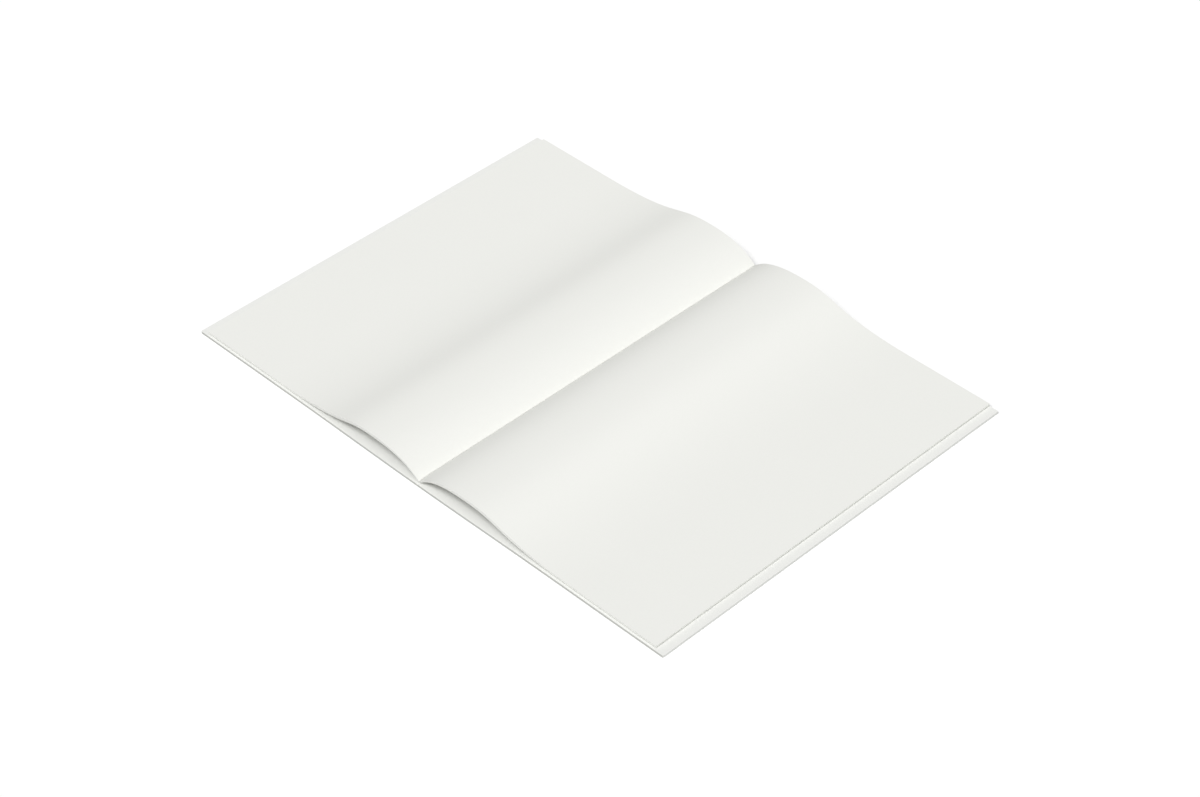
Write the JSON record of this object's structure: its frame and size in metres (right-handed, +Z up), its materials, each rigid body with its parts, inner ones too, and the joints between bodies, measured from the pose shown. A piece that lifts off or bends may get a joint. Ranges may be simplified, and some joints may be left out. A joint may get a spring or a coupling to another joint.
{
  "type": "opened notebook",
  "caption": "Blank paper notebook lying open and flat, with a folded card cover and leaves that arch up beside the fold.",
  "frame": {"origin": "centre of the open notebook's underside: on the fold, halfway along the spine, on the surface it lies on", "axes": "+X from the fold across the right half, +Y along the spine towards the head, +Z up"},
  "size_m": [0.2864, 0.21, 0.0105],
  "materials": {
    "cover": "matt uncoated white card",
    "pages": "matt uncoated off-white paper"
  },
  "bodies": {
    "back_half": {"back_cover": "cover", "right_pages": "pages"},
    "front_half": {"front_cover": "cover", "left_pages": "pages"}
  },
  "joints": [
    {"name": "spine", "type": "hinge", "parent": "back_half", "child": "front_half", "pos_m": [0, 0, 0.0026], "axis": [0, 1, 0], "range_deg": [0, 180], "deforming": ["left_pages", "right_pages"]}
  ]
}
